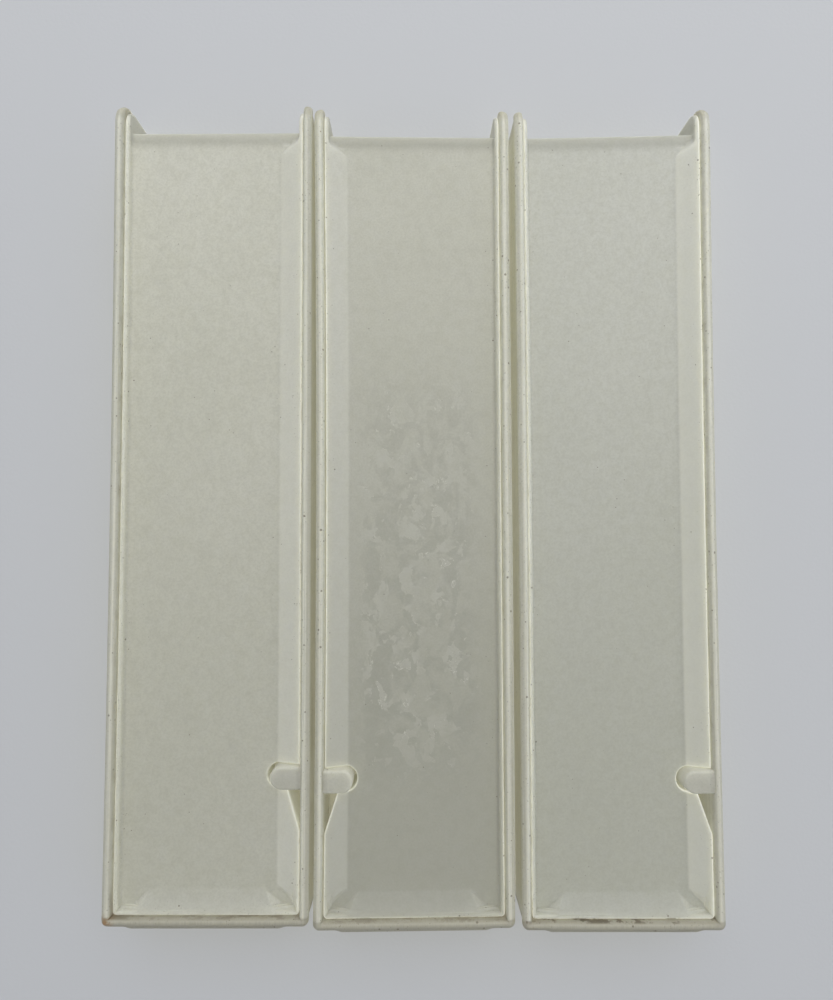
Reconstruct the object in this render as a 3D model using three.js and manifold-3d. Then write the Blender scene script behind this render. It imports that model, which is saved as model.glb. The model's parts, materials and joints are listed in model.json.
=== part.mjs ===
// Set of three pill counting trays standing side by side.
// Each tray is two loose mouldings: an outer casing, open at the rear for pouring, and a counting
// plate that drops into it and lifts straight out. The middle tray is the mirror image of the others.
// Millimetres. +Z up, +X right, +Y towards the pouring end. The origin is the bottom centre of the set.

import * as THREE from 'three';
import { mergeVertices } from 'three/addons/utils/BufferGeometryUtils.js';
import { ConvexGeometry } from 'three/addons/geometries/ConvexGeometry.js';
import Module from 'manifold-3d';

const wasm = await Module();
wasm.setup();

// ---------------------------------------------------------------- driving dimensions
const TRAY_LENGTH = 252.2;
const TRAY_WIDTH = 61;
const TRAY_HEIGHT = 22;

const BEAD_WIDTH = 2.7;           // rolled rim round the top of the casing
const BEAD_HEIGHT = 3.2;
const BEAD_ROUND = 0.9;
const WALL_OUTER = 0.4;           // insets of the wall's two faces from the rim's outer edge
const WALL_INNER = 2.6;
const FLOOR_THICKNESS = 2;
const FLOOR_SETBACK = 3;          // from the walls' rear ends to the floor's rear edge
const CORNER_RADIUS = 2;
const REAR_ROUND = 7;             // upper rear corners of the walls

const PAD_LENGTH = 48;            // shallow grip pad in the middle of the front rim
const PAD_PROUD = 0.6;
const PAD_ROUND = 1.2;

const KEY_DISTANCE = 43.9;        // from the front edge to the middle of the key
const KEY_WIDTH = 7;
const KEY_REACH = 11.7;           // inset of its round end from the rim's outer edge
const KEY_BELOW_RIM = 0.5;

const PLATE_INSET = 3;            // outer face of the plate's skirt, from the rim's outer edge
const SKIRT_THICKNESS = 1.2;
const SKIRT_LIFT = 0.3;           // gap over the casing's floor
const LIP_BELOW_RIM = 1.9;
const PLATE_BELOW_RIM = 4.6;      // counting surface
const PLATE_THICKNESS = 1.5;
const PLATE_REAR_GAP = 8.5;       // from the walls' rear ends to the plate's pouring edge
const FIN_REAR_GAP = 1.8;         // from the walls' rear ends to the ends of the plate's side lips
const FIN_ROUND = 5.5;
const PLATE_CORNER = 1.2;
const POUR_CHAMFER = 3.3;
const POUR_DROP = 1;

const SLOT_WIDTH = 7.6;           // cut-out in the plate that fits over the key
const SLOT_REACH = 12.9;
const RELIEF_INSET = 6.8;         // finger relief in front of the cut-out
const RELIEF_LENGTH = 12;

const BANK_INSET = 10.2;          // where the counting surface starts to rise to the lip
const FRONT_BANK_END = 13.3;      // ends of the front bank, from either side
const VALLEY = 1;                 // flat stretch between the side bank and the front bank

const SET = [                     // x and y of each tray's centre, its turn about Z, its hand
  { name: 'left', x: -62.1, y: 0.75, turn: 0, hand: 1 },
  { name: 'middle', x: 0.05, y: -0.16, turn: 0.2, hand: -1 },
  { name: 'right', x: 63.05, y: -0.6, turn: 0.25, hand: 1 },
];

const HALF_WIDTH = TRAY_WIDTH / 2;
const REAR = TRAY_LENGTH / 2;
const FRONT = -REAR;
const PLATE_REAR = REAR - PLATE_REAR_GAP;
const FIN_REAR = REAR - FIN_REAR_GAP;
const KEY_Y = FRONT + KEY_DISTANCE;
const LIP_TOP = TRAY_HEIGHT - LIP_BELOW_RIM;
const PLATE_TOP = TRAY_HEIGHT - PLATE_BELOW_RIM;
const PLATE_BOTTOM = PLATE_TOP - PLATE_THICKNESS;
const CLEAR = 5;                  // how far a cutting block runs past what it cuts
const ARC_STEPS = 10;

// ---------------------------------------------------------------- solids
function solidOf(geometry) {
  const bare = geometry.index ? geometry.toNonIndexed() : geometry.clone();
  bare.deleteAttribute('normal');
  bare.deleteAttribute('uv');
  const merged = mergeVertices(bare, 1e-4);
  const mesh = new wasm.Mesh({
    numProp: 3,
    vertProperties: new Float32Array(merged.attributes.position.array),
    triVerts: new Uint32Array(merged.index.array),
  });
  return new wasm.Manifold(mesh);
}

function geometryOf(solid, hand) {
  const mesh = solid.getMesh();
  const positions = Float32Array.from(mesh.vertProperties);
  const triangles = Uint32Array.from(mesh.triVerts);
  if (hand < 0) {
    for (let i = 0; i < positions.length; i += 3) positions[i] *= -1;
    for (let i = 0; i < triangles.length; i += 3) {
      [triangles[i + 1], triangles[i + 2]] = [triangles[i + 2], triangles[i + 1]];
    }
  }
  const geometry = new THREE.BufferGeometry();
  geometry.setAttribute('position', new THREE.BufferAttribute(positions, 3));
  geometry.setIndex(new THREE.BufferAttribute(triangles, 1));
  const faceted = geometry.toNonIndexed();
  faceted.computeVertexNormals();
  return faceted;
}

function prism(shape, low, high) {
  const geometry = new THREE.ExtrudeGeometry(shape, {
    depth: high - low, bevelEnabled: false, curveSegments: ARC_STEPS,
  });
  geometry.translate(0, 0, low);
  return solidOf(geometry);
}

function block(x0, x1, y0, y1, z0, z1) {
  const geometry = new THREE.BoxGeometry(x1 - x0, y1 - y0, z1 - z0);
  geometry.translate((x0 + x1) / 2, (y0 + y1) / 2, (z0 + z1) / 2);
  return solidOf(geometry);
}

// What is taken off to round an upper rear corner: seen from the side, a square less a quarter disc.
function rearCornerCutter(rear, top, radius) {
  const cylinder = new THREE.CylinderGeometry(radius, radius, 2 * TRAY_WIDTH, 4 * ARC_STEPS);
  cylinder.rotateZ(Math.PI / 2);
  cylinder.translate(0, rear - radius, top - radius);
  const corner = block(-HALF_WIDTH, HALF_WIDTH, rear - radius, rear + CLEAR, top - radius, top + CLEAR);
  return corner.subtract(solidOf(cylinder));
}

// ---------------------------------------------------------------- casing
// Plan outline at an inset from the rim's outer edge: straight sides, front corners rounded or mitred.
function trayOutline(inset, rear) {
  const x = HALF_WIDTH - inset;
  const y = FRONT + inset;
  const radius = Math.max(CORNER_RADIUS - inset, 0);
  const shape = new THREE.Shape();
  shape.moveTo(-x, rear);
  shape.lineTo(-x, y + radius);
  if (radius > 0) shape.absarc(-x + radius, y + radius, radius, Math.PI, 1.5 * Math.PI, false);
  shape.lineTo(x - radius, y);
  if (radius > 0) shape.absarc(x - radius, y + radius, radius, 1.5 * Math.PI, 2 * Math.PI, false);
  shape.lineTo(x, rear);
  return shape;
}

// The U between two insets, as one outline: out along the outer line and back along the inner one.
function wallOutline(outer, inner, rear) {
  const out = trayOutline(outer, rear).getPoints(ARC_STEPS);
  const back = trayOutline(inner, rear).getPoints(ARC_STEPS).reverse();
  return new THREE.Shape([...out, ...back]);
}

function bead() {
  const outline = wallOutline(BEAD_ROUND, BEAD_WIDTH - BEAD_ROUND, REAR - BEAD_ROUND);
  const geometry = new THREE.ExtrudeGeometry(outline, {
    depth: BEAD_HEIGHT - 2 * BEAD_ROUND,
    bevelThickness: BEAD_ROUND,
    bevelSize: BEAD_ROUND,
    bevelSegments: 3,
  });
  geometry.translate(0, 0, TRAY_HEIGHT - BEAD_HEIGHT + BEAD_ROUND);
  return solidOf(geometry);
}

function gripPad() {
  const half = PAD_LENGTH / 2;
  const pad = new THREE.Shape();
  pad.moveTo(-half, FRONT + BEAD_ROUND);
  pad.lineTo(-half, FRONT);
  pad.quadraticCurveTo(-half + PAD_ROUND, FRONT, -half + 2 * PAD_ROUND, FRONT - PAD_PROUD);
  pad.lineTo(half - 2 * PAD_ROUND, FRONT - PAD_PROUD);
  pad.quadraticCurveTo(half - PAD_ROUND, FRONT, half, FRONT);
  pad.lineTo(half, FRONT + BEAD_ROUND);
  pad.closePath();
  return prism(pad, TRAY_HEIGHT - BEAD_HEIGHT + BEAD_ROUND, TRAY_HEIGHT - BEAD_ROUND);
}

// A round-ended post against the side wall: it keeps the plate from sliding out as pills are poured.
function key() {
  const radius = KEY_WIDTH / 2;
  const centre = HALF_WIDTH - KEY_REACH + radius;
  const wall = HALF_WIDTH - (WALL_OUTER + WALL_INNER) / 2;
  const post = new THREE.Shape();
  post.moveTo(wall, KEY_Y - radius);
  post.lineTo(wall, KEY_Y + radius);
  post.lineTo(centre, KEY_Y + radius);
  post.absarc(centre, KEY_Y, radius, Math.PI / 2, 1.5 * Math.PI, false);
  post.closePath();
  return prism(post, FLOOR_THICKNESS / 2, TRAY_HEIGHT - KEY_BELOW_RIM);
}

function casing() {
  const wall = prism(wallOutline(WALL_OUTER, WALL_INNER, REAR), 0, TRAY_HEIGHT - BEAD_ROUND);
  const withinWall = (WALL_OUTER + WALL_INNER) / 2;
  const floor = prism(trayOutline(withinWall, REAR - FLOOR_SETBACK), 0, FLOOR_THICKNESS);
  return wall.add(floor).add(bead()).add(gripPad()).add(key())
    .subtract(rearCornerCutter(REAR, TRAY_HEIGHT, REAR_ROUND));
}

// ---------------------------------------------------------------- counting plate
// Plan outline of the plate, moved inwards by an offset. The key's cut-out and the finger relief
// in front of it are on the +X side.
function plateOutline(offset, rear) {
  const x = HALF_WIDTH - PLATE_INSET - offset;
  const y = FRONT + PLATE_INSET + offset;
  const radius = Math.max(PLATE_CORNER - offset, 0);
  const slot = SLOT_WIDTH / 2 + offset;
  const slotCentre = HALF_WIDTH - SLOT_REACH + SLOT_WIDTH / 2;
  const slope = (RELIEF_INSET - PLATE_INSET) / RELIEF_LENGTH;
  const shift = offset * Math.hypot(1, slope);
  const reliefInset = RELIEF_INSET - offset * slope + shift;
  const reliefRun = (RELIEF_INSET + shift - PLATE_INSET - offset) / slope;
  const shape = new THREE.Shape();
  shape.moveTo(-x, rear);
  shape.lineTo(-x, y + radius);
  if (radius > 0) shape.absarc(-x + radius, y + radius, radius, Math.PI, 1.5 * Math.PI, false);
  shape.lineTo(x - radius, y);
  if (radius > 0) shape.absarc(x - radius, y + radius, radius, 1.5 * Math.PI, 2 * Math.PI, false);
  shape.lineTo(x, KEY_Y - SLOT_WIDTH / 2 - reliefRun);
  shape.lineTo(HALF_WIDTH - reliefInset, KEY_Y - slot);
  shape.lineTo(slotCentre, KEY_Y - slot);
  shape.absarc(slotCentre, KEY_Y, slot, 1.5 * Math.PI, Math.PI / 2, true);
  shape.lineTo(x, KEY_Y + slot);
  shape.lineTo(x, rear);
  shape.closePath();
  return shape;
}

// Banks: the counting surface rises to the lip along the key's side and along the front.
function sideBank() {
  const lip = HALF_WIDTH - PLATE_INSET;
  const foot = HALF_WIDTH - BANK_INSET;
  const width = lip - foot;
  const frontFoot = FRONT + BANK_INSET + VALLEY;
  const corners = [
    [foot, PLATE_REAR - width], [lip, PLATE_REAR], [foot, frontFoot], [lip, frontFoot - width],
  ];
  const points = corners.flatMap(([x, y]) => [
    new THREE.Vector3(x, y, PLATE_BOTTOM), new THREE.Vector3(x, y, PLATE_TOP),
  ]);
  points.push(new THREE.Vector3(lip, PLATE_REAR - width / 2, LIP_TOP));
  points.push(new THREE.Vector3(lip, frontFoot - width / 2, LIP_TOP));
  return solidOf(new ConvexGeometry(points));
}

function frontBank() {
  const lip = FRONT + PLATE_INSET;
  const foot = FRONT + BANK_INSET;
  const width = foot - lip;
  const halfTop = HALF_WIDTH - FRONT_BANK_END;
  const corners = [[-halfTop, foot], [halfTop, foot], [-halfTop - width, lip], [halfTop + width, lip]];
  const points = corners.flatMap(([x, y]) => [
    new THREE.Vector3(x, y, PLATE_BOTTOM), new THREE.Vector3(x, y, PLATE_TOP),
  ]);
  points.push(new THREE.Vector3(-halfTop - width / 2, lip, LIP_TOP));
  points.push(new THREE.Vector3(halfTop + width / 2, lip, LIP_TOP));
  return solidOf(new ConvexGeometry(points));
}

// What is taken off the lip on the key's side, so that it is level with the bank and, round the
// key's cut-out, with the counting surface.
function lipTrim() {
  const lip = HALF_WIDTH - PLATE_INSET;
  const foot = HALF_WIDTH - BANK_INSET;
  const top = LIP_TOP + CLEAR;
  const points = [FRONT + BANK_INSET, REAR].flatMap((y) => [
    new THREE.Vector3(foot, y, PLATE_TOP),
    new THREE.Vector3(lip, y, LIP_TOP),
    new THREE.Vector3(lip, y, top),
    new THREE.Vector3(foot, y, top),
  ]);
  const reach = SLOT_WIDTH / 2 + 2 * SKIRT_THICKNESS;
  const ring = block(
    foot - reach, foot + SKIRT_THICKNESS / 2, KEY_Y - reach, KEY_Y + reach, PLATE_TOP, top,
  );
  return solidOf(new ConvexGeometry(points)).add(ring);
}

// The wedge taken off the top of the pouring edge.
function pourChamfer() {
  const side = HALF_WIDTH;
  const points = [-side, side].flatMap((x) => [
    new THREE.Vector3(x, PLATE_REAR - POUR_CHAMFER, PLATE_TOP),
    new THREE.Vector3(x, PLATE_REAR, PLATE_TOP),
    new THREE.Vector3(x, PLATE_REAR, PLATE_TOP - POUR_DROP),
  ]);
  return solidOf(new ConvexGeometry(points));
}

function countingPlate() {
  const outside = prism(plateOutline(0, FIN_REAR), FLOOR_THICKNESS + SKIRT_LIFT, LIP_TOP);
  const beneath = prism(plateOutline(SKIRT_THICKNESS, FIN_REAR + CLEAR), -CLEAR, PLATE_BOTTOM);
  const above = prism(plateOutline(SKIRT_THICKNESS, PLATE_REAR), PLATE_TOP, LIP_TOP + CLEAR);
  const behind = block(
    -HALF_WIDTH + PLATE_INSET + SKIRT_THICKNESS, HALF_WIDTH - PLATE_INSET - SKIRT_THICKNESS,
    PLATE_REAR, FIN_REAR + CLEAR, -CLEAR, LIP_TOP + CLEAR,
  );
  const floorOnly = prism(plateOutline(SKIRT_THICKNESS, PLATE_REAR), 0, LIP_TOP);
  const inside = prism(plateOutline(SKIRT_THICKNESS / 2, REAR), 0, LIP_TOP);
  const banks = sideBank().add(frontBank()).intersect(inside);
  return outside.subtract(beneath).subtract(above).subtract(lipTrim())
    .subtract(pourChamfer().intersect(floorOnly))
    .add(banks)
    .subtract(behind)
    .subtract(rearCornerCutter(FIN_REAR, LIP_TOP, FIN_ROUND));
}

// ---------------------------------------------------------------- the set
const casingSolid = casing();
const plateSolid = countingPlate();

const casingPlastic = { color: 0xc2bfa6, roughness: 0.45, metalness: 0 };
const platePlastic = { color: 0xc6c6b4, roughness: 0.5, metalness: 0 };

function part(name, solid, hand, look) {
  const mesh = new THREE.Mesh(geometryOf(solid, hand), new THREE.MeshStandardMaterial(look));
  mesh.name = name;
  return mesh;
}

const trays = new THREE.Group();
for (const { name, x, y, turn, hand } of SET) {
  const tray = new THREE.Group();
  tray.add(part(`${name}_casing`, casingSolid, hand, casingPlastic));
  tray.add(part(`${name}_counting_plate`, plateSolid, hand, platePlastic));
  tray.position.set(x, y, 0);
  tray.rotation.z = THREE.MathUtils.degToRad(turn);
  trays.add(tray);
}
trays.updateMatrixWorld(true);
const middle = new THREE.Box3().setFromObject(trays, true).getCenter(new THREE.Vector3());
trays.position.set(-middle.x, -middle.y, 0);

export default trays;
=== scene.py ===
"""Looks of the set of three pill counting trays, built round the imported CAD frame.

Each CAD node is stood for by a finely rounded moulding of the same size: a casing or a counting plate.
Shapes are made in tray coordinates, in millimetres: x across with the key on +X, y to the pouring end, z up.
"""

import json
import math

import bmesh
import bpy
import numpy as np
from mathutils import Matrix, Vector
from mathutils.geometry import delaunay_2d_cdt

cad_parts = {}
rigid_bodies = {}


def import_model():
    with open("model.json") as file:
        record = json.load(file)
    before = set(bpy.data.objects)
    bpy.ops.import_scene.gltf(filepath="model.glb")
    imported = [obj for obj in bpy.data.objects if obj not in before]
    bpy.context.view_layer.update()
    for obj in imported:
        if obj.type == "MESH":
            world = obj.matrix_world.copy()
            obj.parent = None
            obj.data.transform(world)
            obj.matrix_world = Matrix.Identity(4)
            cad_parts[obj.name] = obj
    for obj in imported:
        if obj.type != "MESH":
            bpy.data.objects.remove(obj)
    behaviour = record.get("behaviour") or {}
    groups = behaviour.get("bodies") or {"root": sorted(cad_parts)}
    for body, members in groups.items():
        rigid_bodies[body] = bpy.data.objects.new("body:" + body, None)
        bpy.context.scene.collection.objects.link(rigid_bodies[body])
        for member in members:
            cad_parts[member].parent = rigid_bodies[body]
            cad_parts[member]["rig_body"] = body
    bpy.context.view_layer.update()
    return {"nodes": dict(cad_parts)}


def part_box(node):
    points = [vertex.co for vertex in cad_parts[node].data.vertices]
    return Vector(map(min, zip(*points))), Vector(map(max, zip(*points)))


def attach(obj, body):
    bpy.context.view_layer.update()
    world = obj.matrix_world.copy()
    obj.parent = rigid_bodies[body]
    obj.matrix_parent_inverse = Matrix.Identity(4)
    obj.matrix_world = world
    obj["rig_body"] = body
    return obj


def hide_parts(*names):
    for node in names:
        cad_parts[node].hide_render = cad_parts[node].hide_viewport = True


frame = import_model()

MM = 0.001

# ---------------------------------------------------------------- sizes of one tray, as in the CAD
HALF_WIDTH = 30.5
REAR = 126.1
FRONT = -REAR
HEIGHT = 22.0
CORNER_RADIUS = 2.0
REAR_ROUND = 7.0
NOSE = 1.3
NOSE_LENGTH = 3.5
FLOOR_TOP = 2.0
FLOOR_SETBACK = 3.0
WALL_MIDDLE = 1.5
WALL_INNER = 2.6
PAD_HALF = 24.0
PAD_PROUD = 0.59
PAD_RAMP = 2.6
KEY_Y = FRONT + 43.9
KEY_WIDTH = 7.0
KEY_REACH = 11.7
KEY_TOP = HEIGHT - 0.5
PLATE_INSET = 3.0
SKIRT = 1.2
SKIRT_FOOT = 2.3
LIP_TOP = HEIGHT - 1.9
PLATE_TOP = HEIGHT - 4.6
PLATE_BOTTOM = PLATE_TOP - 1.5
PLATE_REAR = REAR - 8.5
FIN_REAR = REAR - 1.8
FIN_ROUND = 5.5
PLATE_CORNER = 1.2
POUR_LENGTH = 3.3
POUR_DROP = 1.0
SLOT_WIDTH = 7.6
SLOT_REACH = 12.9
RELIEF_INSET = 6.8
RELIEF_LENGTH = 12.0
BANK_FOOT = 10.2
BANK_RISE = LIP_TOP - PLATE_TOP
BANK_RUN = BANK_FOOT - PLATE_INSET
FRONT_BANK_HALF = HALF_WIDTH - 13.3
VALLEY = 1.0
FILLET = 0.9
CREASE = 0.35

# Rows of points in the counting surface: along its edge, and across its rolled rear.
EDGE_ROWS = (SKIRT, 1.4, 1.65, 1.95, 2.3)
ROLL_ROWS = (0.25, 0.6, 1.0, 1.5, 2.1, 2.8, 3.4, 4.4)
# The surface's own edge runs inside the lip; the creases and the grid of points start a little further in.
DECK_EDGE = 0.6
DECK_ROW_END = 0.7
DECK_INNER = 0.75
CREASE_ROWS = (-0.5, -0.25, 0.0, 0.25, 0.5)
CREASE_STEP = 2.5

# The grip pad starts at this height, is whole a little above it, and fades out inwards over this depth.
PAD_FOOT = 18.6
PAD_FADE = 0.8
PAD_DEPTH = 1.6
# Below this height the skirt's inner face does not follow the lip.
INNER_KEPT = 12.0
# A bow of a wall starts this far from the tray's middle line and is whole after this run.
BOW_START = 6.0
BOW_RUN = 18.0
SHARP_ANGLE = 38.0           # degrees; faces that meet more steeply are shaded with a sharp edge

# How each tray stands and has warped. Turn: degrees about Z. Hand: -1 where the tray is mirrored.
# Key and plain: how far the wall on the key's side and the one opposite stand inwards of their nominal
# places at the front, at mid-length and at the rear. Ends: how far the front and rear ends stand inwards,
# on the key's side and then on the plain side. Askew: how much further back the plate's rear end reaches
# on the key's side.
TRAYS = {
    "left": {"turn": 0.0, "hand": 1, "key": (-0.8, -0.75, -0.55), "plain": (0.02, 0.65, 0.4),
             "ends": ((0.2, 0.0), (0.33, 0.5)), "askew": 0.0},
    "middle": {"turn": 0.2, "hand": -1, "key": (0.45, 1.2, 0.45), "plain": (0.0, 0.1, 0.1),
               "ends": ((0.0, 0.0), (0.48, 0.64)), "askew": 0.0},
    "right": {"turn": 0.25, "hand": 1, "key": (0.05, 0.6, 0.1), "plain": (0.0, 0.1, -0.2),
              "ends": ((0.0, -0.5), (0.44, 0.2)), "askew": 0.6},
}

# Section of the casing's wall and rolled rim: (inset from the outer edge, height), once round.
WALL_SECTION = [
    (0.85, 0.0), (0.55, 0.1), (0.42, 0.35), (0.4, 0.8), (0.4, 9.5), (0.4, 18.1), (0.38, 18.55),
    (0.27, 18.85), (0.1, 19.08), (0.0, 19.45), (0.0, 20.25), (0.07, 20.65), (0.28, 21.05),
    (0.62, 21.42), (1.0, 21.72), (1.36, 21.93), (1.66, 22.0), (1.92, 21.95), (2.2, 21.8),
    (2.45, 21.53), (2.62, 21.2), (2.7, 20.75), (2.7, 19.0), (2.66, 18.6), (2.6, 18.3), (2.6, 9.5),
    (2.6, 0.8), (2.45, 0.3), (2.15, 0.0),
]

# Section of the plate's lip and skirt: (offset from the skirt's outer face, height), once round.
LIP_SECTION = [
    (0.0, SKIRT_FOOT), (0.0, 11.0), (0.0, LIP_TOP - 0.55), (0.04, LIP_TOP - 0.34), (0.14, LIP_TOP - 0.16),
    (0.28, LIP_TOP - 0.05), (0.44, LIP_TOP), (0.62, LIP_TOP - 0.01), (0.8, LIP_TOP - 0.09),
    (0.98, LIP_TOP - 0.24), (1.12, LIP_TOP - 0.46), (SKIRT, LIP_TOP - 0.75), (SKIRT, 11.0),
    (SKIRT, SKIRT_FOOT),
]


# ---------------------------------------------------------------- plan outlines
def arc(cx, cy, radius, start, end, steps):
    """Points on an arc from one angle to another, in degrees."""
    angles = [math.radians(start + (end - start) * i / steps) for i in range(steps + 1)]
    return [(cx + radius * math.cos(a), cy + radius * math.sin(a)) for a in angles]


def subdivide(a, b, length):
    """Points from a towards b, no further apart than length, without b."""
    n = max(1, math.ceil(math.dist(a, b) / length))
    return [(a[0] + (b[0] - a[0]) * i / n, a[1] + (b[1] - a[1]) * i / n) for i in range(n)]


def end_steps(rear, radius):
    """Distances from a rounded end, close together where the top falls away."""
    return [rear - radius * (1 - math.cos(math.radians(a))) for a in (0, 12, 24, 36, 48, 60, 75, 90)]


def casing_path(inset):
    """The U of the casing's wall at an inset, from the left rear end round to the right rear end."""
    x = HALF_WIDTH - inset
    side = end_steps(REAR, REAR_ROUND)
    side += [REAR - REAR_ROUND - 6.0 * i for i in range(1, 41)]
    left = [(-x, y) for y in side if y > FRONT + CORNER_RADIUS + 1]
    radius = max(CORNER_RADIUS - inset, 0.0)
    centre = max(CORNER_RADIUS, inset)
    corner = arc(-HALF_WIDTH + centre, FRONT + centre, radius, 180, 270, 8)
    ramps = [PAD_HALF - PAD_RAMP * t for t in (0, 0.2, 0.4, 0.6, 0.8, 1)]
    half = [(-r, FRONT + inset) for r in ramps] + [(-r, FRONT + inset) for r in (18, 14, 10, 5, 0)]
    start = left + corner + half
    return start + [(-px, py) for px, py in reversed(start[:-1])]


def plate_outline(offset, rear, fine):
    """Outline of the counting plate moved inwards by an offset, from the left rear end to the right."""
    x = HALF_WIDTH - PLATE_INSET - offset
    y = FRONT + PLATE_INSET + offset
    radius = max(PLATE_CORNER - offset, 0.0)
    centre = max(PLATE_CORNER, offset)
    out = HALF_WIDTH - PLATE_INSET - centre
    slot = SLOT_WIDTH / 2 + offset
    slot_x = HALF_WIDTH - SLOT_REACH + SLOT_WIDTH / 2
    slope = (RELIEF_INSET - PLATE_INSET) / RELIEF_LENGTH
    shift = offset * math.hypot(1, slope)
    relief_x = HALF_WIDTH - (RELIEF_INSET - offset * slope + shift)
    relief_y = KEY_Y - SLOT_WIDTH / 2 - (RELIEF_INSET + shift - PLATE_INSET - offset) / slope
    ends = end_steps(rear, FIN_ROUND) if fine else [rear]
    front_y = FRONT + PLATE_INSET + centre
    count = 34
    last = ends[-1]
    left = [(-x, e) for e in ends[:-1]]
    left += [(-x, last + (front_y - last) * i / count) for i in range(count)]
    points = left + arc(-out, front_y, radius, 180, 270, 6)
    points += [(-out + 2 * out * i / 8, y) for i in range(1, 8)]
    points += arc(out, front_y, radius, 270, 360, 6)
    points += [(x, front_y + (relief_y - front_y) * i / 5) for i in range(1, 5)]
    points += [(x, relief_y)]
    rise = KEY_Y - slot - relief_y
    points += [(x + (relief_x - x) * i / 4, relief_y + rise * i / 4) for i in range(1, 4)]
    points += [(relief_x, KEY_Y - slot)]
    points += [(relief_x + (slot_x - relief_x) * i / 3, KEY_Y - slot) for i in range(1, 3)]
    points += arc(slot_x, KEY_Y, slot, 270, 90, 22)
    points += [(slot_x + (x - slot_x) * i / 3, KEY_Y + slot) for i in range(1, 3)]
    points += [(x, KEY_Y + slot)]
    points += [(x, KEY_Y + slot + (last - KEY_Y - slot) * i / count) for i in range(1, count + 1)]
    points += [(x, e) for e in reversed(ends[:-1])]
    return points


# ---------------------------------------------------------------- meshes
def mesh_of(name, vertices, faces):
    """A mesh from its vertices and faces."""
    mesh = bpy.data.meshes.new(name)
    mesh.from_pydata([tuple(v) for v in vertices], [], faces)
    mesh.validate()
    return mesh


def weld(mesh, distance):
    """The same mesh with points closer than a distance merged and all faces pointing out."""
    bm = bmesh.new()
    bm.from_mesh(mesh)
    bmesh.ops.remove_doubles(bm, verts=bm.verts, dist=distance)
    bmesh.ops.dissolve_degenerate(bm, edges=bm.edges, dist=distance)
    bmesh.ops.recalc_face_normals(bm, faces=bm.faces)
    bm.to_mesh(mesh)
    bm.free()
    return mesh


def swept(name, section, path_at, height_at):
    """A closed section swept along a path that depends on the inset, with both ends capped."""
    rings = [path_at(inset) for inset, _ in section]
    count = len(rings[0])
    vertices = []
    for (inset, z), ring in zip(section, rings):
        vertices += [height_at(x, y, z, inset) for x, y in ring]
    faces = []
    n = len(section)
    for i in range(n):
        j = (i + 1) % n
        for k in range(count - 1):
            faces.append((i * count + k, j * count + k, j * count + k + 1, i * count + k + 1))
    faces.append([i * count for i in range(n)])
    faces.append([i * count + count - 1 for i in reversed(range(n))])
    return weld(mesh_of(name, vertices, faces), 2e-3)


def lowered(y, rear, radius):
    """How far the top of a wall has fallen at y, on its way round the upper rear corner."""
    into = min(max(y - (rear - radius), 0.0), radius)
    return radius - math.sqrt(radius * radius - into * into)


def casing_point(x, y, z, inset):
    """Where a point of the casing's wall stands, with the grip pad and the rounded rear ends."""
    # The grip pad stands proud of the front rim only, and fades out below it.
    if y < FRONT + CORNER_RADIUS and abs(x) < PAD_HALF:
        ramp = min((PAD_HALF - abs(x)) / PAD_RAMP, 1.0)
        ramp = ramp * ramp * (3 - 2 * ramp)
        rim = max(0.0, min(1.0, (z - PAD_FOOT) / PAD_FADE))
        y -= PAD_PROUD * ramp * rim * max(0.0, 1 - inset / PAD_DEPTH)
    # The rear end of the wall is rounded in plan too, on its outer side.
    outer = max(0.0, 1 - inset / WALL_INNER)
    x -= math.copysign(outer * NOSE * (lowered(y, REAR, NOSE_LENGTH) / NOSE_LENGTH), x)
    top = HEIGHT - lowered(y, REAR, REAR_ROUND)
    return x, y, z * top / HEIGHT


def lip_height(x, y):
    """Top of the plate's lip: full height on the plain side, and level with the banks on the key's side."""
    if x < 0:
        return LIP_TOP
    grade = BANK_RISE / BANK_RUN
    side = grade * (x - HALF_WIDTH + BANK_FOOT)
    front = grade * (FRONT + BANK_FOOT - y)
    return PLATE_TOP + min(max(side, front, 0.0), BANK_RISE)


def lip_point(x, y, z, offset):
    """Where a point of the plate's lip and skirt stands, below the top that the lip has there."""
    drop = lowered(y, FIN_REAR, FIN_ROUND) if y > 0 else 0.0
    if offset < SKIRT - 0.001 or z > INNER_KEPT:
        drop += LIP_TOP - lip_height(x, y)
    share = (z - SKIRT_FOOT) / (LIP_TOP - SKIRT_FOOT)
    return x, y, z - drop * share


def slab(name, outline, low, high):
    """A plain plate between two heights."""
    n = len(outline)
    vertices = [(x, y, low) for x, y in outline] + [(x, y, high) for x, y in outline]
    faces = [tuple(reversed(range(n))), tuple(range(n, 2 * n))]
    faces += [(i, (i + 1) % n, n + (i + 1) % n, n + i) for i in range(n)]
    return weld(mesh_of(name, vertices, faces), 1e-4)


def key_mesh():
    """The round-ended post that stands in the plate's cut-out, its top edge well rounded."""
    wall = HALF_WIDTH - WALL_MIDDLE
    levels = [(0.0, 1.0), (0.0, KEY_TOP - 0.9), (0.06, KEY_TOP - 0.58), (0.24, KEY_TOP - 0.3),
              (0.52, KEY_TOP - 0.1), (0.9, KEY_TOP)]
    rings = []
    for inwards, z in levels:
        radius = KEY_WIDTH / 2 - inwards
        centre = HALF_WIDTH - KEY_REACH + KEY_WIDTH / 2
        ring = [(wall, KEY_Y - radius)] + arc(centre, KEY_Y, radius, 270, 90, 24) + [(wall, KEY_Y + radius)]
        rings.append([(x, y, z) for x, y in ring])
    n = len(rings[0])
    vertices = [p for ring in rings for p in ring]
    faces = [tuple(range(n))]
    for i in range(len(rings) - 1):
        low, high = i * n, (i + 1) * n
        faces += [(low + k, low + (k + 1) % n, high + (k + 1) % n, high + k) for k in range(n)]
    faces.append(tuple(range((len(rings) - 1) * n, len(rings) * n)))
    return weld(mesh_of("key", vertices, faces), 1e-4)


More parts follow.
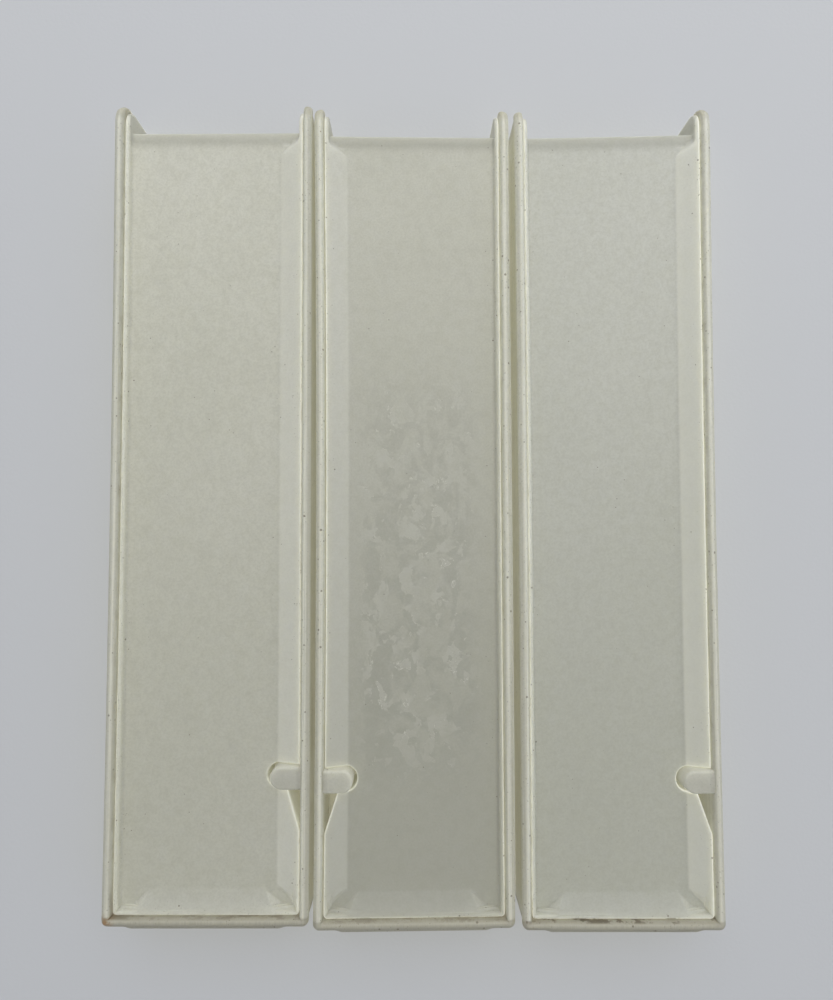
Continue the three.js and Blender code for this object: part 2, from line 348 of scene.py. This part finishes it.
def soft_min(a, b, k):
    """The smaller of two heights, with the crease between them rounded over k."""
    h = np.clip(0.5 + 0.5 * (b - a) / k, 0, 1)
    return b * (1 - h) + a * h - k * h * (1 - h)


def soft_max(a, b, k):
    """The larger of two heights, with the crease between them rounded over k."""
    return -soft_min(-a, -b, k)


def distance_to(points, line):
    """Distance from each point to an open polyline."""
    a, b = np.array(line[:-1]), np.array(line[1:])
    d = b - a
    length = np.maximum((d * d).sum(1), 1e-12)
    best = np.full(len(points), 1e9)
    for i in range(len(a)):
        t = np.clip(((points - a[i]) @ d[i]) / length[i], 0, 1)
        best = np.minimum(best, np.linalg.norm(points - a[i] - t[:, None] * d[i], axis=1))
    return best


def plate_height(points):
    """Height of the counting surface: flat, with two banks, a fillet under the lip and a rolled rear."""
    x, y = points[:, 0], points[:, 1]
    foot = HALF_WIDTH - BANK_FOOT
    grade = BANK_RISE / BANK_RUN
    steep = 2 * grade
    front_end = FRONT + BANK_FOOT + VALLEY
    rear_end = PLATE_REAR - BANK_RUN
    side = grade * (x - foot)
    side = soft_min(side, steep * ((x - foot) + (y - front_end)), CREASE)
    side = soft_min(side, steep * ((x - foot) - (y - rear_end)), CREASE)
    depth = FRONT + BANK_FOOT - y
    front = grade * depth
    front = soft_min(front, steep * (depth + FRONT_BANK_HALF - np.abs(x)), CREASE)
    rise = soft_max(soft_max(side, front, 0.12), np.zeros_like(x), CREASE)
    lip = distance_to(points, plate_outline(SKIRT, FIN_REAR, False))
    into = np.clip(FILLET - lip, 0, FILLET)
    stands = np.array([lip_height(px, py) for px, py in points]) - PLATE_TOP - rise
    stands = np.clip(stands / 1.6, 0, 1)
    rise = rise + (FILLET - np.sqrt(FILLET ** 2 - into ** 2)) * stands
    roll = np.clip((y - (PLATE_REAR - POUR_LENGTH)) / POUR_LENGTH, 0, 1)
    return PLATE_TOP + rise * (1 - roll ** 2 * 0.6) - POUR_DROP * roll ** 2.2


def bank_creases():
    """The lines where the banks meet the flat and each other, as pairs of points."""
    foot, front_foot = HALF_WIDTH - BANK_FOOT, FRONT + BANK_FOOT
    front_end, rear_end = front_foot + VALLEY, PLATE_REAR - BANK_RUN
    reach = BANK_RUN - 0.7
    creases = [
        ((foot, front_end), (foot, rear_end)),
        ((foot, front_end), (foot + reach, front_end - reach)),
        ((foot, front_end), (foot + reach, front_end - reach / 2)),
        ((foot, rear_end), (foot + reach, rear_end + reach)),
        ((foot, rear_end), (foot + reach, rear_end + reach / 2)),
        ((-FRONT_BANK_HALF, front_foot), (FRONT_BANK_HALF, front_foot)),
    ]
    for side in (-1, 1):
        start = (side * FRONT_BANK_HALF, front_foot)
        for run in (reach, reach / 2):
            creases.append((start, (side * (FRONT_BANK_HALF + run), front_foot - reach)))
    return creases


def crease_points(inner):
    """Rows of points on both sides of each crease, kept inside the inner outline."""
    points = []
    for a, b in bank_creases():
        direction = Vector((b[0] - a[0], b[1] - a[1])).normalized()
        for aside in CREASE_ROWS:
            row = subdivide(a, b, CREASE_STEP) + [b]
            row = [(x - direction.y * aside, y + direction.x * aside) for x, y in row]
            row = [p for p in row if inside(p, inner)]
            if len(row) > 1:
                points.extend(row)
    return points


def deck_mesh():
    """The counting surface as a closed slab whose edge runs inside the lip."""
    points = plate_outline(DECK_EDGE, PLATE_REAR, False)
    side = HALF_WIDTH - PLATE_INSET - DECK_EDGE
    points += [(x, PLATE_REAR) for x in (side - i * 4.0 for i in range(1, 14)) if x > 1 - side]
    loop = len(points)
    edges = [(i, (i + 1) % loop) for i in range(loop)]

    def line(row):
        base = len(points)
        points.extend(row)
        edges.extend((base + i, base + i + 1) for i in range(len(row) - 1))

    for offset in EDGE_ROWS:
        line(plate_outline(offset, PLATE_REAR, False))
    side = HALF_WIDTH - PLATE_INSET - DECK_ROW_END
    for back in ROLL_ROWS:
        line([(-side + i * side / 8, PLATE_REAR - back) for i in range(17)])
    inner = np.array(plate_outline(DECK_INNER, PLATE_REAR - 0.1, False))
    points += crease_points(inner)
    grid = [(gx, gy) for gx in np.arange(-25, 26, 3.0) for gy in np.arange(-120, 117, 4.0)]
    points += [p for p in grid if inside(p, inner)]
    out, _, triangles, *_ = delaunay_2d_cdt([Vector(p) for p in points], edges, [list(range(loop))], 1, 1e-3)
    flat = np.array([tuple(p) for p in out])
    count = len(flat)
    vertices = [(x, y, z) for (x, y), z in zip(flat, plate_height(flat))]
    vertices += [(x, y, PLATE_BOTTOM) for x, y in flat]
    faces = [tuple(t) for t in triangles]
    faces += [tuple(count + i for i in reversed(t)) for t in triangles]
    # Sides of triangles, in order. Those that no neighbour shares run round the slab's edge.
    sides = dict.fromkeys((a, b) for t in triangles for a, b in zip(t, (*t[1:], t[0])))
    faces += [(b, a, count + a, count + b) for a, b in sides if (b, a) not in sides]
    return weld(mesh_of("deck", vertices, faces), 1e-4)


def inside(p, ring):
    """Whether a point lies inside a closed outline."""
    x, y = p
    a, b = ring, np.roll(ring, -1, axis=0)
    crosses = (a[:, 1] > y) != (b[:, 1] > y)
    dy = np.where(b[:, 1] == a[:, 1], 1e-12, b[:, 1] - a[:, 1])
    at = a[:, 0] + (y - a[:, 1]) * (b[:, 0] - a[:, 0]) / dy
    return bool(np.count_nonzero(crosses & (x < at)) % 2)


def joined(name, first, *others):
    """The union of closed meshes, as one mesh."""
    whole = bpy.data.objects.new(name, first)
    bpy.context.scene.collection.objects.link(whole)
    parts = []
    for mesh in others:
        part = bpy.data.objects.new(mesh.name, mesh)
        bpy.context.scene.collection.objects.link(part)
        modifier = whole.modifiers.new("union", "BOOLEAN")
        modifier.operation = "UNION"
        modifier.solver = "EXACT"
        modifier.object = part
        parts.append(part)
    bpy.context.view_layer.update()
    solid = bpy.data.meshes.new_from_object(whole.evaluated_get(bpy.context.evaluated_depsgraph_get()))
    for o in [whole, *parts]:
        bpy.data.objects.remove(o)
    return weld(solid, 1e-3)


def casing_mesh():
    """Wall with its rolled rim, floor and key, as one moulding."""
    wall = swept("wall", WALL_SECTION, casing_path, casing_point)
    x, y, rear = HALF_WIDTH - WALL_MIDDLE, FRONT + WALL_MIDDLE, REAR - FLOOR_SETBACK
    floor = slab("floor", [(-x, y), (x, y), (x, rear), (-x, rear)], 0.0, FLOOR_TOP)
    return joined("casing", wall, floor, key_mesh())


def plate_mesh():
    """Lip with its skirt and the counting surface, as one moulding that knows how far its edge is."""
    lip = swept("lip", LIP_SECTION, lambda offset: plate_outline(offset, FIN_REAR, True), lip_point)
    plate = joined("plate", lip, deck_mesh())
    points = np.array([v.co.xy for v in plate.vertices])
    distance = distance_to(points, plate_outline(0.0, FIN_REAR, False))
    edge = plate.attributes.new("edge", "FLOAT", "POINT")
    edge.data.foreach_set("value", distance.astype(np.float32))
    return plate


# ---------------------------------------------------------------- pieces
def warped(co, warp, key_rear_extra):
    """Points of a tray, in its own coordinates, once its walls have bowed and its ends gone askew."""
    along, x, y = co[:, 1] / REAR, co[:, 0].copy(), co[:, 1].copy()
    for direction, (front, middle, rear) in ((1, warp["key"]), (-1, warp["plain"])):
        side = np.clip((co[:, 0] * direction - BOW_START) / BOW_RUN, 0, 1)
        inwards = middle * (1 - along ** 2) + rear * along * (1 + along) / 2 - front * along * (1 - along) / 2
        x -= direction * inwards * side * side * (3 - 2 * side)
    share = (co[:, 0] / HALF_WIDTH + 1) / 2
    (key_front, key_rear), (plain_front, plain_rear) = warp["ends"]
    key_rear -= key_rear_extra
    y += (key_front * share + plain_front * (1 - share)) * np.clip(-along, 0, 1)
    y -= (key_rear * share + plain_rear * (1 - share)) * np.clip(along, 0, 1)
    return x, y


def placed(name, source, tray, node):
    """A copy of a moulding, put where its tray stands, in metres, riding on its CAD node's body."""
    warp = TRAYS[tray]
    lo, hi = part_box(f"{tray}_casing")
    cos, sin = math.cos(math.radians(warp["turn"])), math.sin(math.radians(warp["turn"]))
    centre_x = (lo.x + hi.x) / 2 / MM
    centre_y = hi.y / MM - REAR * cos - HALF_WIDTH * sin
    mesh = source.copy()
    mesh.name = name
    local = np.zeros(len(mesh.vertices) * 3)
    mesh.vertices.foreach_get("co", local)
    local = local.reshape(-1, 3)
    x, y = warped(local, warp, warp["askew"] if node.endswith("plate") else 0.0)
    x *= warp["hand"]
    there = np.stack([x * cos - y * sin + centre_x, x * sin + y * cos + centre_y, local[:, 2]], axis=1)
    mesh.vertices.foreach_set("co", (there * MM).ravel())
    attribute = mesh.attributes.new("tray", "FLOAT_VECTOR", "POINT")
    attribute.data.foreach_set("vector", local.astype(np.float32).ravel())
    if warp["hand"] < 0:
        mesh.flip_normals()
    mesh.update()
    mesh.shade_smooth()
    mesh.set_sharp_from_angle(angle=math.radians(SHARP_ANGLE))
    piece = bpy.data.objects.new(name, mesh)
    bpy.context.scene.collection.objects.link(piece)
    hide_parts(node)
    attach(piece, frame["nodes"][node]["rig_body"])
    return piece


# ---------------------------------------------------------------- materials
def rgb(r, g, b):
    """A linear colour from display values out of 255."""
    return (*[((c / 255 + 0.055) / 1.055) ** 2.4 for c in (r, g, b)], 1.0)


class Nodes:
    """Short names for the node kinds the materials are made of."""

    def __init__(self, name):
        self.material = bpy.data.materials.new(name)
        self.material.use_nodes = True
        self.tree = self.material.node_tree
        self.tree.nodes.clear()

    def add(self, kind, **values):
        node = self.tree.nodes.new(kind)
        for key, value in values.items():
            setattr(node, key, value)
        return node

    def put(self, socket, value):
        if isinstance(value, bpy.types.NodeSocket):
            self.tree.links.new(value, socket)
        else:
            socket.default_value = value

    def math(self, operation, a, b=0.0, clamp=False):
        node = self.add("ShaderNodeMath", operation=operation, use_clamp=clamp)
        self.put(node.inputs[0], a)
        self.put(node.inputs[1], b)
        return node.outputs[0]

    def plus(self, a, b, clamp=False):
        return self.math("ADD", a, b, clamp)

    def times(self, a, b, clamp=False):
        return self.math("MULTIPLY", a, b, clamp)

    def off(self, value, centre):
        """How far a value is from a centre, either way."""
        return self.math("ABSOLUTE", self.math("SUBTRACT", value, centre))

    def noise(self, vector, scale, detail=2.0, roughness=0.5, distortion=0.0):
        node = self.add("ShaderNodeTexNoise")
        self.put(node.inputs["Vector"], vector)
        node.inputs["Scale"].default_value = scale
        node.inputs["Detail"].default_value = detail
        node.inputs["Roughness"].default_value = roughness
        node.inputs["Distortion"].default_value = distortion
        return node.outputs["Fac"]

    def cells(self, vector, scale):
        node = self.add("ShaderNodeTexVoronoi")
        self.put(node.inputs["Vector"], vector)
        node.inputs["Scale"].default_value = scale
        return node.outputs["Distance"]

    def step(self, value, low, high, to_low=0.0, to_high=1.0):
        """A smooth change from one level to another as a value goes from low to high."""
        node = self.add("ShaderNodeMapRange", interpolation_type="SMOOTHSTEP")
        for socket, v in zip(node.inputs, (value, low, high, to_low, to_high)):
            self.put(socket, v)
        return node.outputs[0]

    def mix(self, factor, a, b):
        node = self.add("ShaderNodeMix", data_type="RGBA")
        self.put(node.inputs[0], factor)
        self.put(node.inputs[6], a)
        self.put(node.inputs[7], b)
        return node.outputs[2]

    def moved(self, vector, shift, scale=(1, 1, 1)):
        node = self.add("ShaderNodeMapping")
        self.put(node.inputs["Vector"], vector)
        node.inputs["Location"].default_value = shift
        node.inputs["Scale"].default_value = scale
        return node.outputs[0]

    def bumped(self, height, strength):
        node = self.add("ShaderNodeBump")
        self.put(node.inputs["Height"], height)
        node.inputs["Strength"].default_value = strength
        return node

    def principled(self, colour, rough, bump):
        shader = self.add("ShaderNodeBsdfPrincipled")
        self.put(shader.inputs["Base Color"], colour)
        self.put(shader.inputs["Roughness"], rough)
        self.put(shader.inputs["Normal"], bump.outputs[0])
        return shader

    def output(self, shader):
        self.put(self.add("ShaderNodeOutputMaterial").inputs["Surface"], shader.outputs[0])
        return self.material


# Colours of the plastic's clouds, dirt and scuffs, and of its painted highlights, painted light and painted
# shade.
CLOUD = rgb(176, 178, 158)
MOTTLE = rgb(146, 144, 124)
GRAIN = rgb(160, 160, 148)
MILKY_AND_LIT = rgb(231, 231, 220)
ROLLED_SHADE = rgb(150, 150, 139)
EDGE_HIGHLIGHT = rgb(248, 248, 238)
FLOW_LINE = rgb(158, 156, 136)
CREST_HIGHLIGHT = rgb(244, 244, 232)
FRONT_SHADE = rgb(144, 139, 122)
TIP_TAN_SHADE = rgb(150, 143, 112)
GRIME = rgb(112, 96, 62)
DIRT = rgb(84, 72, 50)
STAIN = rgb(150, 112, 60)
SPECK = rgb(88, 78, 58)
CRAZED = rgb(112, 112, 102)
FLAKE = rgb(226, 226, 218)

# Painted light: the base tone grows lighter from the front to the rear over this length.
LIGHT_RAMP_END = 112.0             # from here to each end, the tone no longer changes
CREVICE = 2.9                # inset of the crevice between casing and plate
TRANSMITTED = (0.925, 0.917, 0.882, 1.0)
SCATTER_RADIUS = (1.0, 0.98, 0.86)
SCATTER_SCALE = 0.003


class Plastic(Nodes):
    """Milky moulded polypropylene, painted by masks in the tray's own millimetres; some masks paint light and
    shade.
    """

    def __init__(self, name, look, seed):
        super().__init__(name)
        self.look = look
        tray = self.add("ShaderNodeAttribute", attribute_name="tray", attribute_type="GEOMETRY")
        self.here = tray.outputs["Vector"]
        split = self.add("ShaderNodeSeparateXYZ")
        self.put(split.inputs[0], self.here)
        self.x, self.y, self.z = split.outputs
        self.cloud = self.moved(self.here, (seed * 13.7, seed * 5.1, seed * 3.3))
        self.from_side = self.math("SUBTRACT", HALF_WIDTH, self.math("ABSOLUTE", self.x))
        self.from_front = self.plus(self.y, REAR)
        self.inset = self.math("MINIMUM", self.from_side, self.from_front)
        self.fine = self.noise(self.cloud, 0.35, 4.0, 0.6)
        self.grain = self.noise(self.cloud, 1.6, 3.0, 0.6)
        self.rough = self.plus(0.38, self.times(self.fine, 0.16))
        # The trays' own tone, with painted light that is darker towards the front and lighter towards the
        # rear.
        self.colour = self.mix(self.step(self.y, -LIGHT_RAMP_END, LIGHT_RAMP_END), look["front"], look["rear"])

    def paint(self, mask, colour):
        self.colour = self.mix(mask, self.colour, colour)

    def clouds(self):
        """Slow and fine changes of tone all over."""
        large = self.noise(self.cloud, 0.018, 3.0, 0.55)
        self.paint(self.step(large, 0.3, 0.7, 0.0, 0.09), CLOUD)
        self.paint(self.step(self.fine, 0.35, 0.75, 0.0, 0.12), MOTTLE)
        self.paint(self.step(self.grain, 0.35, 0.68, 0.0, 0.22), GRAIN)

    def plate_tones(self):
        """Painted light on the banks and lips, painted shade on the rolled rear, and a painted highlight
        along the upper edge all round.
        """
        # Painted light: the sloped banks and the lips' upper parts are painted lighter.
        foot = HALF_WIDTH - BANK_FOOT
        bank = self.step(self.x, foot - 0.4, foot + 0.5)
        bank = self.times(bank, self.step(self.z, PLATE_TOP - 0.05, PLATE_TOP + 0.3))
        mitre = self.step(self.math("SUBTRACT", self.from_front, self.from_side), -0.2, 0.8)
        bank = self.times(bank, mitre)
        lip = self.times(self.step(self.z, PLATE_TOP + 0.8, PLATE_TOP + 2.0), 0.15)
        self.paint(self.times(self.math("MAXIMUM", bank, lip), self.look["bank"]), MILKY_AND_LIT)
        # Painted shade on the rolled rear edge, where the plate overhangs the hollow beneath it.
        roll = self.step(self.y, PLATE_REAR - 6.0, PLATE_REAR - 2.2)
        self.paint(self.times(roll, self.step(self.z, PLATE_TOP + 1.0, PLATE_TOP + 1.8, 0.5, 0.0)), ROLLED_SHADE)
        # Painted highlight along the plate's upper edge all round, patchy in strength.
        edge = self.add("ShaderNodeAttribute", attribute_name="edge", attribute_type="GEOMETRY")
        worn = self.times(self.step(edge.outputs["Fac"], 0.12, 0.62, 1.0, 0.0), self.step(self.z, 15.5, 17.0))
        pale = self.step(self.noise(self.cloud, 0.05, 2.0), 0.3, 0.6, 0.45, 0.8)
        self.paint(self.times(worn, self.times(pale, self.look["worn"])), EDGE_HIGHLIGHT)

    def casing_tones(self):
        """Fine flow lines along the rim, a painted highlight on the crest, painted shade on the front rim, a
        milkier key and painted shade, tinted tan, at the rear ends.
        """
        lines = self.noise(self.moved(self.cloud, (0, 0, 0), (2.6, 0.02, 1.0)), 1.0, 3.0, 0.65)
        on_wall = self.step(self.inset, 2.8, 3.6, 1.0, 0.15)
        self.paint(self.times(self.step(lines, 0.38, 0.68, 0.0, 0.3), on_wall), FLOW_LINE)
        # Painted highlight along the rim's crest.
        crest_highlight = self.step(self.z, HEIGHT - 0.4, HEIGHT - 0.03)
        self.paint(self.times(crest_highlight, self.step(lines, 0.4, 0.6, 0.1, 0.4)), CREST_HIGHLIGHT)
        # Painted shade on the front rim.
        self.paint(self.times(self.step(self.from_front, 2.6, 3.4, 1.0, 0.0), 0.55), FRONT_SHADE)
        key = self.times(self.step(self.inset, 3.6, 4.2), self.step(self.z, 15.0, 16.0, 0.0, 0.14))
        self.paint(key, MILKY_AND_LIT)
        # Painted shade, tinted tan, on the rear ends where the wall's top rounds away.
        self.paint(self.step(self.y, REAR - 6.5, REAR - 1.0, 0.0, 0.5), TIP_TAN_SHADE)

    def near_corner(self, front, side):
        """A mask of the front corner on the plain side, each way from full to nothing."""
        across = self.step(self.x, side[0] - HALF_WIDTH, side[1] - HALF_WIDTH, 1.0, 0.0)
        return self.times(self.step(self.from_front, *front, 1.0, 0.0), across)

    def grime(self):
        """Grime where the plate meets the casing, dirt along the front and a stain in one corner."""
        crevice = self.step(self.off(self.inset, CREVICE), 0.1, 0.6, 1.0, 0.0)
        crevice = self.times(crevice, self.step(self.z, 15.0, 18.5))
        patchy = self.times(self.step(self.noise(self.cloud, 0.16, 5.0, 0.7), 0.46, 0.72), 0.35)
        corner = self.times(self.near_corner((1.0, 14.0), (3.0, 12.0)), 0.3)
        amount = self.times(self.plus(patchy, corner), self.look["grime"])
        self.paint(self.times(crevice, amount), GRIME)
        line = self.step(self.off(self.from_front, CREVICE), 0.2, 0.7, 1.0, 0.0)
        line = self.times(line, self.step(self.z, 17.5, 19.0, 0.0, self.look["dirt"]))
        clot = self.step(self.noise(self.cloud, 0.12, 4.0, 0.75), 0.5, 0.58)
        self.paint(self.times(line, clot), DIRT)
        stain = self.step(self.noise(self.cloud, 0.5, 4.0, 0.7), 0.4, 0.6)
        stain = self.times(self.near_corner((0.8, 5.0), (1.0, 5.0)), stain)
        self.paint(self.times(stain, self.step(self.z, 15.0, 19.0, 0.0, self.look["stain"])), STAIN)

    def specks(self, reach):
        """Dark specks of two sizes, in drifts, and denser near the edges."""
        spread = self.moved(self.cloud, (2.2, 7.7, 1.3))
        near = self.step(self.inset, 2.0, 9.0, 0.06, 0.0)
        drifts = self.step(self.noise(self.cloud, 0.07, 2.0), 0.4, 0.62)
        size = self.times(self.plus(drifts, 0.15), reach)
        large = self.math("LESS_THAN", self.cells(spread, 0.33), self.plus(size, near))
        small = self.math("LESS_THAN", self.cells(spread, 0.8), self.plus(size, self.times(near, 1.6)))
        self.paint(self.plus(self.times(large, 0.6), self.times(small, 0.34), clamp=True), SPECK)

    def scuffs(self):
        """Pale flakes with paler outlines where the middle of the plate has crazed."""
        bent = self.moved(self.here, (1.5, 0.4, 0.0), (1.0, 0.8, 1.0))
        patches = self.step(self.noise(bent, 0.12, 3.0, 0.6, 1.2), 0.38, 0.56)
        along = self.times(self.step(self.y, -95.0, -60.0), self.step(self.y, 20.0, 50.0, 1.0, 0.0))
        across = self.times(self.step(self.x, -24.0, -14.0), self.step(self.x, 12.0, 20.0, 1.0, 0.0))
        zone = self.times(self.times(along, across), patches)
        craze = self.noise(bent, 0.2, 4.0, 0.6, 0.5)
        outline = self.step(self.off(craze, 0.55), 0.0, 0.01, 1.0, 0.0)
        outline = self.times(outline, self.step(self.noise(bent, 0.25, 2.0), 0.42, 0.62))
        flakes = self.plus(self.times(self.step(craze, 0.55, 0.58), 0.2), self.times(outline, 0.75))
        flakes = self.times(zone, flakes, clamp=True)
        self.paint(self.times(zone, 0.13), CRAZED)
        self.paint(flakes, FLAKE)
        self.rough = self.plus(self.rough, self.times(flakes, 0.3))

    def finished(self):
        """Scattering plastic, thin enough for part of the lamps' light to reach what lies behind it."""
        waves = self.noise(self.moved(self.cloud, (0, 0, 0), (1.0, 0.25, 1.0)), 0.06, 2.0)
        bump = self.bumped(self.plus(self.times(self.grain, 0.35), self.times(waves, 1.6)), 0.25)
        bump.inputs["Distance"].default_value = 0.0002
        shader = self.principled(self.colour, self.rough, bump)
        shader.inputs["IOR"].default_value = 1.49
        shader.inputs["Subsurface Weight"].default_value = 1.0
        shader.inputs["Subsurface Radius"].default_value = SCATTER_RADIUS
        shader.inputs["Subsurface Scale"].default_value = SCATTER_SCALE
        through = self.add("ShaderNodeBsdfTransparent")
        through.inputs["Color"].default_value = TRANSMITTED
        milky = self.add("ShaderNodeMixShader")
        self.put(milky.inputs[0], self.add("ShaderNodeLightPath").outputs["Is Shadow Ray"])
        self.put(milky.inputs[1], shader.outputs[0])
        self.put(milky.inputs[2], through.outputs[0])
        return self.output(milky)


def plate_plastic(name, look, seed):
    plastic = Plastic(name, look, seed)
    plastic.clouds()
    plastic.plate_tones()
    plastic.grime()
    plastic.specks(0.05)
    if look["scuffed"]:
        plastic.scuffs()
    return plastic.finished()


def casing_plastic(name, look, seed):
    plastic = Plastic(name, look, seed)
    plastic.clouds()
    plastic.casing_tones()
    plastic.grime()
    plastic.specks(0.055)
    return plastic.finished()


# Tones at the rear and at the front, which are the trays' own tone with painted light, lighter at the rear
# and darker at the front, and how much dirt, scuffing, painted highlight and painted light each tray shows.
LOOKS = {
    "left": {
        "casing": {"rear": rgb(198, 198, 188), "front": rgb(191, 190, 179)},
        "plate": {"rear": rgb(210, 210, 201), "front": rgb(196, 196, 186)},
        "wear": {"grime": 1.0, "dirt": 0.3, "stain": 0.9, "worn": 0.3, "bank": 0.36, "scuffed": False},
    },
    "middle": {
        "casing": {"rear": rgb(211, 211, 199), "front": rgb(197, 196, 184)},
        "plate": {"rear": rgb(202, 202, 193), "front": rgb(178, 178, 168)},
        "wear": {"grime": 0.7, "dirt": 0.25, "stain": 0.1, "worn": 0.8, "bank": 0.22, "scuffed": True},
    },
    "right": {
        "casing": {"rear": rgb(213, 213, 203), "front": rgb(195, 194, 183)},
        "plate": {"rear": rgb(203, 204, 198), "front": rgb(189, 190, 181)},
        "wear": {"grime": 0.8, "dirt": 0.75, "stain": 0.15, "worn": 0.8, "bank": 0.45, "scuffed": False},
    },
}

mouldings = {
    "casing": ("casing", casing_mesh(), casing_plastic),
    "counting_plate": ("plate", plate_mesh(), plate_plastic),
}
seed = 0
for tray, looks in LOOKS.items():
    for kind, (short, source, plastic_of) in mouldings.items():
        seed += 1
        piece = placed(f"{tray}_{short}_moulding", source, tray, f"{tray}_{kind}")
        look = {**looks[short], **looks["wear"]}
        piece.data.materials.clear()
        piece.data.materials.append(plastic_of(f"{tray}_{short}_plastic", look, seed))


# ---------------------------------------------------------------- floor
FLOOR_HALF = 1.6
FLOOR_GAP = 0.0002
PAPER_DARK = (0.575, 0.59, 0.615, 1.0)
PAPER_PALE = (0.60, 0.615, 0.64, 1.0)


def floor_material():
    """Plain pale paper, a little uneven in tone."""
    paper = Nodes("floor_paper")
    where = paper.add("ShaderNodeTexCoord").outputs["Object"]
    soft = paper.noise(where, 2.2, 2.0)
    bump = paper.bumped(paper.noise(where, 900.0, 2.0), 0.05)
    rough = paper.plus(0.6, paper.times(soft, 0.1))
    return paper.output(paper.principled(paper.mix(soft, PAPER_DARK, PAPER_PALE), rough, bump))


corners = [(sx * FLOOR_HALF, sy * FLOOR_HALF, 0) for sx, sy in ((-1, -1), (1, -1), (1, 1), (-1, 1))]
floor = bpy.data.objects.new("floor", mesh_of("floor", corners, [(0, 1, 2, 3)]))
bpy.context.scene.collection.objects.link(floor)
floor.location.z = -FLOOR_GAP
floor.data.materials.append(floor_material())


# ---------------------------------------------------------------- camera and light
SENSOR = 36.0
LENS = 29.52
camera = bpy.data.objects.new("camera", bpy.data.cameras.new("camera"))
bpy.context.scene.collection.objects.link(camera)
camera.data.sensor_width = SENSOR
camera.data.lens = LENS
camera.location = (-0.00073, -0.00778, 0.2705)
camera.rotation_euler = (math.radians(2.37), math.radians(-0.32), 0.0)
camera.data.clip_start = 0.01
bpy.context.scene.camera = camera


def area_light(name, place, target, size, power, colour):
    """A soft rectangular lamp that looks at a target.

    It is sampled from the surfaces only, so that the milky plastic dims its light instead of blocking it.
    """
    light = bpy.data.lights.new(name, "AREA")
    light.shape = "RECTANGLE"
    light.size, light.size_y = size
    light.energy = power
    light.color = colour
    light.cycles.use_multiple_importance_sampling = False
    lamp = bpy.data.objects.new(name, light)
    lamp.location = place
    lamp.rotation_mode = "QUATERNION"
    lamp.rotation_quaternion = (Vector(target) - Vector(place)).to_track_quat("-Z", "Y")
    bpy.context.scene.collection.objects.link(lamp)


area_light("rear_window", (0.15, 0.95, 1.25), (0, 0.05, 0), (2.0, 1.1), 12.2, (1.0, 0.99, 0.97))
area_light("right_soft", (1.3, 0.1, 1.2), (0, 0, 0), (1.0, 1.6), 3.4, (0.97, 0.985, 1.0))
area_light("ceiling", (0.0, 0.0, 1.6), (0, 0, 0), (4.0, 4.0), 9.6, (0.95, 0.965, 1.0))

# Pale walls all round, which light the sides of the trays and the narrow gaps between them.
WALL_DISTANCE = 1.4
WALL_LIGHTS = {"east": (1, 0, 7.0), "west": (-1, 0, 7.0), "north": (0, 1, 9.0), "south": (0, -1, 5.0)}
for wall, (east, north, power) in WALL_LIGHTS.items():
    place = (WALL_DISTANCE * east, WALL_DISTANCE * north, 0.6)
    area_light(f"{wall}_wall", place, (0, 0, 0.02), (2.6, 1.1), power, (0.97, 0.98, 1.0))

# The room behind the floor looks about as pale as the floor, but adds little to the light of the lamps.
AMBIENT = 0.06
BACKDROP = 0.42
world = bpy.data.worlds.new("studio")
world.use_nodes = True
room = world.node_tree.nodes["Background"]
room.inputs["Color"].default_value = (0.95, 0.97, 1.0, 1.0)
seen = world.node_tree.nodes.new("ShaderNodeLightPath")
strength = world.node_tree.nodes.new("ShaderNodeMapRange")
strength.inputs["To Min"].default_value = AMBIENT
strength.inputs["To Max"].default_value = BACKDROP
world.node_tree.links.new(seen.outputs["Is Camera Ray"], strength.inputs["Value"])
world.node_tree.links.new(strength.outputs["Result"], room.inputs["Strength"])
bpy.context.scene.world = world
bpy.context.scene.view_settings.view_transform = "Standard"
